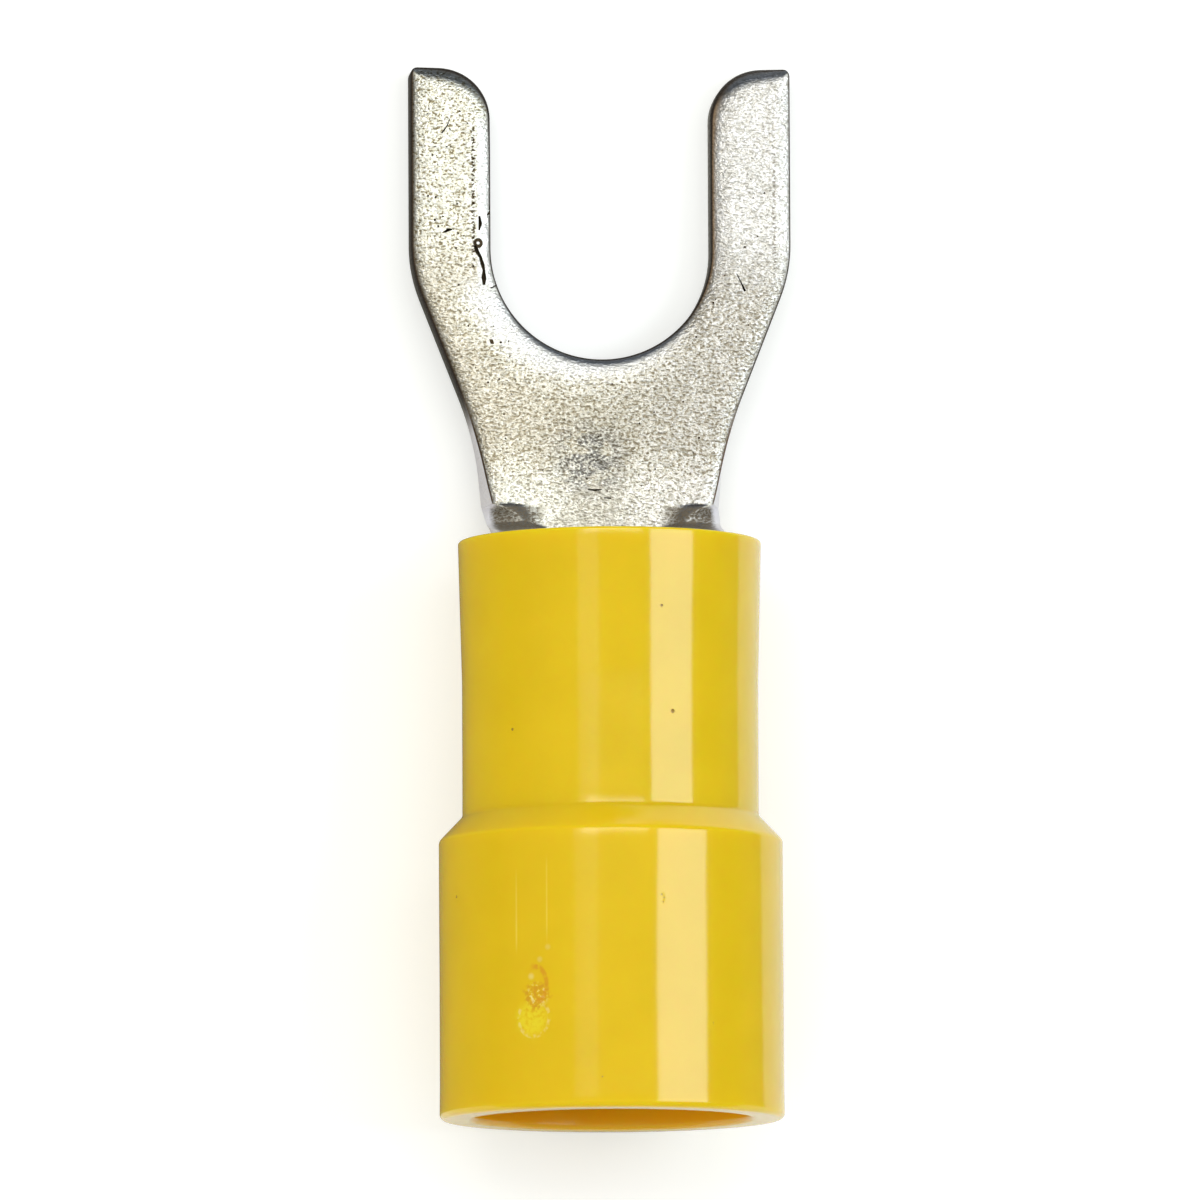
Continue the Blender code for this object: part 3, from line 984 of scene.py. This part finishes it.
def both(tree, *masks):
    """Product of masks or numbers."""
    made = masks[0]
    for mask in masks[1:]:
        made = math_node(tree, "MULTIPLY", made, mask)
    return made


def larger(tree, first, second):
    """The larger of two masks."""
    return math_node(tree, "MAXIMUM", first, second)


def scaled(tree, mask, factor, added=0.0):
    """A mask times a number, plus another number."""
    return math_node(tree, "MULTIPLY_ADD", mask, factor, added)


def off_from(tree, source, value):
    """How far a coordinate is from a value, on either side."""
    return math_node(tree, "ABSOLUTE", math_node(tree, "ADD", source, -value), 0.0)


def band(tree, source, start, end):
    """Value that rises smoothly from 0 to 1 as the source goes from start to end."""
    made = new_node(tree, "MapRange", {"Value": source, "From Min": start, "From Max": end})
    made.interpolation_type = "SMOOTHSTEP"
    return made.outputs["Result"]


def span(tree, source, start, end):
    """The same between two lengths in mm."""
    return band(tree, source, start * MM, end * MM)


def from_point(tree, place, point):
    """Distance of a position from a fixed point."""
    made = new_node(tree, "VectorMath", {0: place, 1: point})
    made.operation = "DISTANCE"
    return made.outputs["Value"]


def spot(tree, place, point, radius, core):
    """1 on a round spot, fading from its core to its rim."""
    return band(tree, from_point(tree, place, point), radius, core)


def bump_node(tree, height, depth, strength, other={}):
    """Normal with a height map's relief on it."""
    inputs = {"Height": height, "Distance": depth, "Strength": strength, **other}
    return new_node(tree, "Bump", inputs).outputs["Normal"]


# Tin

def slot_rim(tree, x, y, near, far):
    """1 up to one distance from the slot's round bottom, fading to 0 at another."""
    centre = (0.0, SLOT_WIDTH / 2 - SLOT_DEPTH, 0.0)
    distance = from_point(tree, flat_place(tree, {"X": x, "Y": y}), centre)
    distance = math_node(tree, "MULTIPLY_ADD", x, 0.11, distance)
    rim = band(tree, distance, SLOT_WIDTH / 2 + far, SLOT_WIDTH / 2 + near)
    right = span(tree, x, 2.4, 1.4)
    low = span(tree, y, -4.7, -5.7)
    return both(tree, rim, right, low)


def bright_tin_and_highlights(tree, x, y):
    """1 where the tin is bright: brighter plating on the prongs, and painted highlight on the rim
    round the slot and the end of the neck.
    """
    prongs = span(tree, y, -5.6, -3.6)
    sides = span(tree, off_from(tree, x, -0.15 * MM), 0.2, 1.2)
    # Prongs: brighter plating; end of the neck and rim round the slot: painted highlight
    neck = both(tree, span(tree, y, -8.7, -10.3), scaled(tree, sides, 0.75, 0.25))
    rim = slot_rim(tree, x, y, 0.2 * MM, 1.2 * MM)
    return larger(tree, larger(tree, prongs, neck), rim)


def tin_ground(tree, place, x, clear, grain, coarse):
    """Bright and dull tin from the left prong to the right one, and the stain on the neck."""
    side = span(tree, x, -3.2, 3.2)
    bright = both(tree, clear, scaled(tree, coarse, 0.7, 0.62))
    colour = paint(tree, bright, ramp_node(tree, side, DULL_TIN), ramp_node(tree, side, BRIGHT_TIN))
    stain = spot(tree, place, STAIN_PLACE, STAIN_REACH, STAIN_CORE)
    patchy = both(tree, stain, band(tree, coarse, 0.36, 0.52), band(tree, grain, 0.66, 0.44))
    return tint(tree, patchy, colour, STAIN_TINT)


def tin_grit(tree, colour, place, x, y, clear, grain):
    """Dark grain: mottled on dull tin, dots on bright tin, least on the right prong and the neck."""
    mottle = paint(tree, clear, ramp_node(tree, grain, MOTTLE), ramp_node(tree, grain, DOTS))
    patches = ramp_node(tree, noise_node(tree, place, PATCH_SIZE, 1.0), PATCHES)
    colour = tint(tree, 1.0, colour, patches)
    smooth = both(tree, span(tree, x, 1.6, 3.0), span(tree, y, -6.0, -4.0))
    neck = scaled(tree, span(tree, y, -9.3, -10.2), 0.65)
    grit = ramp_node(tree, larger(tree, smooth, neck), GRIT_SHARE)
    return tint(tree, grit, colour, mottle)


def tin_rim_highlight(tree, colour, x, y, coarse):
    """Painted highlight: bright rim round the slot's bottom and along the left prong's rounded edge.
    """
    halo = both(tree, slot_rim(tree, x, y, 0.1 * MM, 0.7 * MM), scaled(tree, coarse, 0.9, 0.4))
    rolled = both(tree, span(tree, x, -2.99, -2.90), span(tree, x, -2.4, -2.5))
    rolled = both(tree, rolled, span(tree, y, -6.2, -5.0), span(tree, y, -1.0, -1.6))
    return paint(tree, larger(tree, halo, scaled(tree, rolled, 0.75)), colour, RIM_HIGHLIGHT)


def dotted_shade_line(tree, x, y, grain, at):
    """Broken line of painted shade along a prong where its rounded edge begins."""
    line = span(tree, off_from(tree, x, at), 0.065, 0.015)
    ends = both(tree, span(tree, y, -5.0, -4.5), span(tree, y, -1.1, -1.7))
    return both(tree, line, ends, band(tree, grain, 0.56, 0.44))


def tin_tips(tree, colour, x, y, facing, tongue, grain):
    """Painted shade: dotted lines along the prongs, darkened rolled tips and brown on faces that look
    left.
    """
    # Painted shade in broken lines along both prongs
    for at, by in ((LEFT_DOTS, DARK_SHADE_DOTS), (RIGHT_DOTS, LIGHT_SHADE_DOTS)):
        colour = tint(tree, dotted_shade_line(tree, x, y, grain, at), colour, by)
    # Painted shade on faces that look towards the tips
    tip = scaled(tree, span(tree, y, -2.2, -1.0), 0.06)
    lean = math_node(tree, "ADD", facing[1], tip)
    colour = tint(tree, band(tree, lean, 0.27, 0.52), colour, TIP_SHADE)
    # Painted shade, brown on faces that look left, away from the side box
    brown_scar_and_shade = paint(tree, span(tree, x, -0.5, 0.5), LEFT_FACING_SHADE, SLOT_FACING_SHADE)
    leftward = both(tree, band(tree, facing[0], -0.34, -0.70), tongue)
    return tint(tree, leftward, colour, brown_scar_and_shade)


def tin_webs(tree, colour, x, y, upright, neck, grain):
    """Webs painted dark as shade, a brown line of painted shade along the neck and a painted pale
    reflection on the outer curls; also where webs and curls are.
    """
    outward = math_node(tree, "ABSOLUTE", x, 0.0)
    beyond = span(tree, y, -10.42, -10.52)
    inner = span(tree, outward, 1.3, 1.7)
    # Painted shade inside the webs, broken by the grain
    web = both(tree, beyond, inner, span(tree, outward, 2.70, 2.55))
    web = both(tree, web, scaled(tree, band(tree, grain, 0.64, 0.40), 0.45, 0.55))
    colour = paint(tree, web, colour, WEB_SHADE)
    # Painted shade as a brown line on the neck's tilted edge
    before = span(tree, y, -10.5, -10.3)
    line = both(tree, band(tree, upright, 0.92, 0.70), neck, before)
    colour = paint(tree, line, colour, NECK_SHADE_LINE)
    # Painted reflection, pale and not metal, on the neck's outer curls
    wing = larger(tree, band(tree, upright, 0.60, 0.40), beyond)
    wing = both(tree, wing, neck, span(tree, outward, 2.48, 2.60))
    wing = both(tree, wing, scaled(tree, web, -1.0, 1.0))
    return paint(tree, wing, colour, NECK_EDGE_REFLECTION), web, wing


def tin_sides(tree, colour, z, facing, upright, tongue, grain):
    """Painted shade as a dark line along the upper edge, and bare sheared sides painted lighter below
    as light and darker above as shade; also where the line is.
    """
    # Painted shade as a dark line where the rounded upper edge tilts
    above = band(tree, facing[2], 0.05, 0.20)
    edge = both(tree, band(tree, upright, 0.84, 0.58), tongue, above)
    colour = paint(tree, edge, colour, EDGE_SHADE_LINE)
    side = both(tree, band(tree, upright, 0.30, 0.10), tongue)
    # Bare sheared sides, painted lighter below as light and darker above as shade
    bare = paint(tree, span(tree, z, 0.25, 0.75), CUT_SIDE_PAINTED_LIGHT, CUT_SIDE_PAINTED_SHADE)
    bare = tint(tree, band(tree, grain, 0.60, 0.40), bare, CUT_GRAIN)
    line = both(tree, edge, band(tree, upright, 0.10, 0.30))
    return paint(tree, side, colour, bare), line


def tin_edges(tree, colour, x, y, z, grain):
    """Colour with painted shade on the tips, webs and sheared sides and a painted reflection on the
    neck's curls, and where it doesn't shine as metal.
    """
    facing = parts_of(tree, new_node(tree, "TexCoord", {}).outputs["Normal"])
    upright = math_node(tree, "ABSOLUTE", facing[2], 0.0)
    tongue = band(tree, y, NECK_FADE_END, NECK_FADE_START)
    neck = band(tree, y, NECK_FADE_START, NECK_FADE_END)
    colour = tin_tips(tree, colour, x, y, facing, tongue, grain)
    colour, web, wing = tin_webs(tree, colour, x, y, upright, neck, grain)
    colour, line = tin_sides(tree, colour, z, facing, upright, tongue, grain)
    dull = larger(tree, line, scaled(tree, web, 0.85))
    return colour, larger(tree, dull, scaled(tree, wing, 0.75))


def tin_material():
    """Matte tin plating: fine pitted grain, warmer and rougher on the left prong."""
    made, tree, shader = new_material("tin_plating")
    place = own_place(tree)
    x, y, z = parts_of(tree, place)
    stretched = scaled_place(tree, place, GRAIN_STRETCH)
    grain = noise_node(tree, stretched, GRAIN_SIZE, 1.5, 0.6)
    coarse = noise_node(tree, stretched, COARSE_SIZE)
    clear = bright_tin_and_highlights(tree, x, y)
    colour = tin_ground(tree, place, x, clear, grain, coarse)
    colour = tin_grit(tree, colour, place, x, y, clear, grain)
    colour = tin_rim_highlight(tree, colour, x, y, coarse)
    colour, dull = tin_edges(tree, colour, x, y, z, grain)
    normal = bump_node(tree, coarse, COARSE_RELIEF, 0.8)
    feed(tree, shader, {
        "Base Color": colour,
        "Metallic": scaled(tree, dull, -1.0, 1.0),
        "Specular IOR Level": scaled(tree, dull, -0.4, 0.5),
        "Roughness": ramp_node(tree, grain, TIN_ROUGHNESS),
        "Normal": bump_node(tree, grain, GRAIN_RELIEF, 1.0, {"Normal": normal}),
    })
    return made


def hollow_material(name, stops, roughness, gloss):
    """Dull, grainy floor of small pits."""
    made, tree, shader = new_material(name)
    colour = ramp_node(tree, noise_node(tree, own_place(tree), HOLLOW_GRAIN), stops)
    feed(tree, shader, {"Base Color": colour, "Roughness": roughness, "Specular IOR Level": gloss})
    return made


# Yellow plastic

def on_bell(turn, distance):
    """Point on the bell's skin along the terminal's own axes."""
    return (BELL_RADIUS * math.sin(turn), -distance, BARREL_RADIUS + BELL_RADIUS * math.cos(turn))


def torn_spot(tree, place, point, torn, ragged, radius):
    """1 on a spot whose rim is ragged by a noise."""
    away = math_node(tree, "MULTIPLY_ADD", torn, ragged, from_point(tree, place, point))
    return band(tree, away, radius, 0.40 * MM)


def oval_line(tree, place, mark, stretch, width):
    """1 on a thin oval line on the bell, some times longer along y than across."""
    turn, distance, radius = mark
    x, y, z = on_bell(turn, distance)
    squeezed = scaled_place(tree, place, (1.0, 1.0 / stretch, 1.0))
    away = from_point(tree, squeezed, (x, y / stretch, z))
    return band(tree, off_from(tree, away, radius), width, width * 0.3)


def gate_colours(tree, colour, place):
    """Dimple, torn scar and dot at the gate; the scar's pale flecks and the dot's pale centre are
    painted highlights.
    """
    torn = noise_node(tree, place, TORN_SIZE)
    dimple = torn_spot(tree, place, on_bell(GATE_TURN, GATE_PLACE), torn, 0.30 * MM, 0.70 * MM)
    dimple = both(tree, dimple, band(tree, torn, 0.25, 0.60))
    colour = paint(tree, dimple, colour, GATE_YELLOW)
    scar = torn_spot(tree, place, on_bell(SCAR_TURN, SCAR_PLACE), torn, 0.40 * MM, 0.60 * MM)
    brown_scar_and_shade = both(tree, scar, band(tree, torn, 0.60, 0.40), 0.8)
    colour = paint(tree, brown_scar_and_shade, colour, GATE_BROWN)
    # Painted highlight as pale flecks in the scar and on the dot
    pale = both(tree, scar, band(tree, torn, 0.53, 0.66))
    dot = spot(tree, place, on_bell(GATE_TURN, DOT_PLACE), 0.11 * MM, 0.02 * MM)
    pale = larger(tree, pale, scaled(tree, dot, 0.6))
    return paint(tree, scaled(tree, pale, 0.6), colour, GATE_HIGHLIGHT)


def gate_lines(tree, colour, place, x, y):
    """Orange crack to the right of the scar, and a pale broken rim round the dimple and pale spatter,
    painted highlights.
    """
    rough = noise_node(tree, place, 0.13 * MM, 1.0)
    middle = on_bell(*CRACK[:2])
    crack = oval_line(tree, place, CRACK, 1.35, 0.075 * MM)
    crack = both(tree, crack, band(tree, x, middle[0] - 0.12 * MM, middle[0] + 0.05 * MM))
    crack = both(tree, crack, band(tree, rough, 0.30, 0.50), 0.75)
    colour = paint(tree, crack, colour, CRACK_ORANGE)
    # Painted highlight on the dimple's broken rim and the spatter
    middle = on_bell(*CRESCENT[:2])
    rim = oval_line(tree, place, CRESCENT, 1.08, 0.06 * MM)
    rim = both(tree, rim, band(tree, y, middle[1] + 0.34 * MM, middle[1] + 0.22 * MM))
    rim = both(tree, rim, band(tree, rough, 0.40, 0.70))
    for turn, distance in SPATTER:
        drop = spot(tree, place, on_bell(turn, distance), 0.10 * MM, 0.02 * MM)
        rim = larger(tree, rim, scaled(tree, drop, 0.6))
    return paint(tree, scaled(tree, rim, 0.45), colour, CRESCENT_HIGHLIGHT)


def streak_lines(tree, colour, cloud, x, y, z):
    """Faint flow lines that run down the bell to the gate, their glint painted as pale colour."""
    skin = span(tree, z, 5.6, 5.8)
    patchy = band(tree, cloud, 0.20, 0.60)
    for at, first, last in STREAKS:
        line = span(tree, off_from(tree, x, at * MM), 0.028, 0.006)
        start = span(tree, y, -first, -first - 0.5)
        end = span(tree, y, -last, 0.5 - last)
        line = both(tree, line, start, end, skin, patchy, 0.65)
        # The flow lines' glint, painted as pale colour
        colour = paint(tree, line, colour, STREAK_GLINT)
    return colour


def sleeve_material():
    """Glossy yellow plastic that light passes a little way through."""
    made, tree, shader = new_material("yellow_plastic")
    place = own_place(tree)
    x, y, z = parts_of(tree, place)
    cloud = noise_node(tree, place, CLOUD_SIZE)
    colour = ramp_node(tree, cloud, YELLOW)
    bore = from_point(tree, flat_place(tree, {"X": x, "Z": z}), (0.0, 0.0, BARREL_RADIUS))
    bore = both(tree, span(tree, bore, 3.42, 3.27), span(tree, y, -17.0, -18.5))
    colour = paint(tree, bore, colour, BORE_ORANGE)
    colour = gate_colours(tree, colour, place)
    colour = gate_lines(tree, colour, place, x, y)
    colour = streak_lines(tree, colour, cloud, x, y, z)
    feed(tree, shader, {
        "Base Color": colour,
        "Roughness": 0.11,
        "Subsurface Weight": 0.8,
        "Subsurface Radius": (1.0, 0.6, 0.06),
        "Subsurface Scale": 1.0 * MM,
        "Normal": bump_node(tree, noise_node(tree, place, SKIN_GRAIN), SKIN_RELIEF, 0.5),
    })
    return made


bpy.context.scene.view_settings.view_transform = "Standard"
add_camera()
add_floor()
add_lights()
add_world()
make_lug()
make_sleeve()
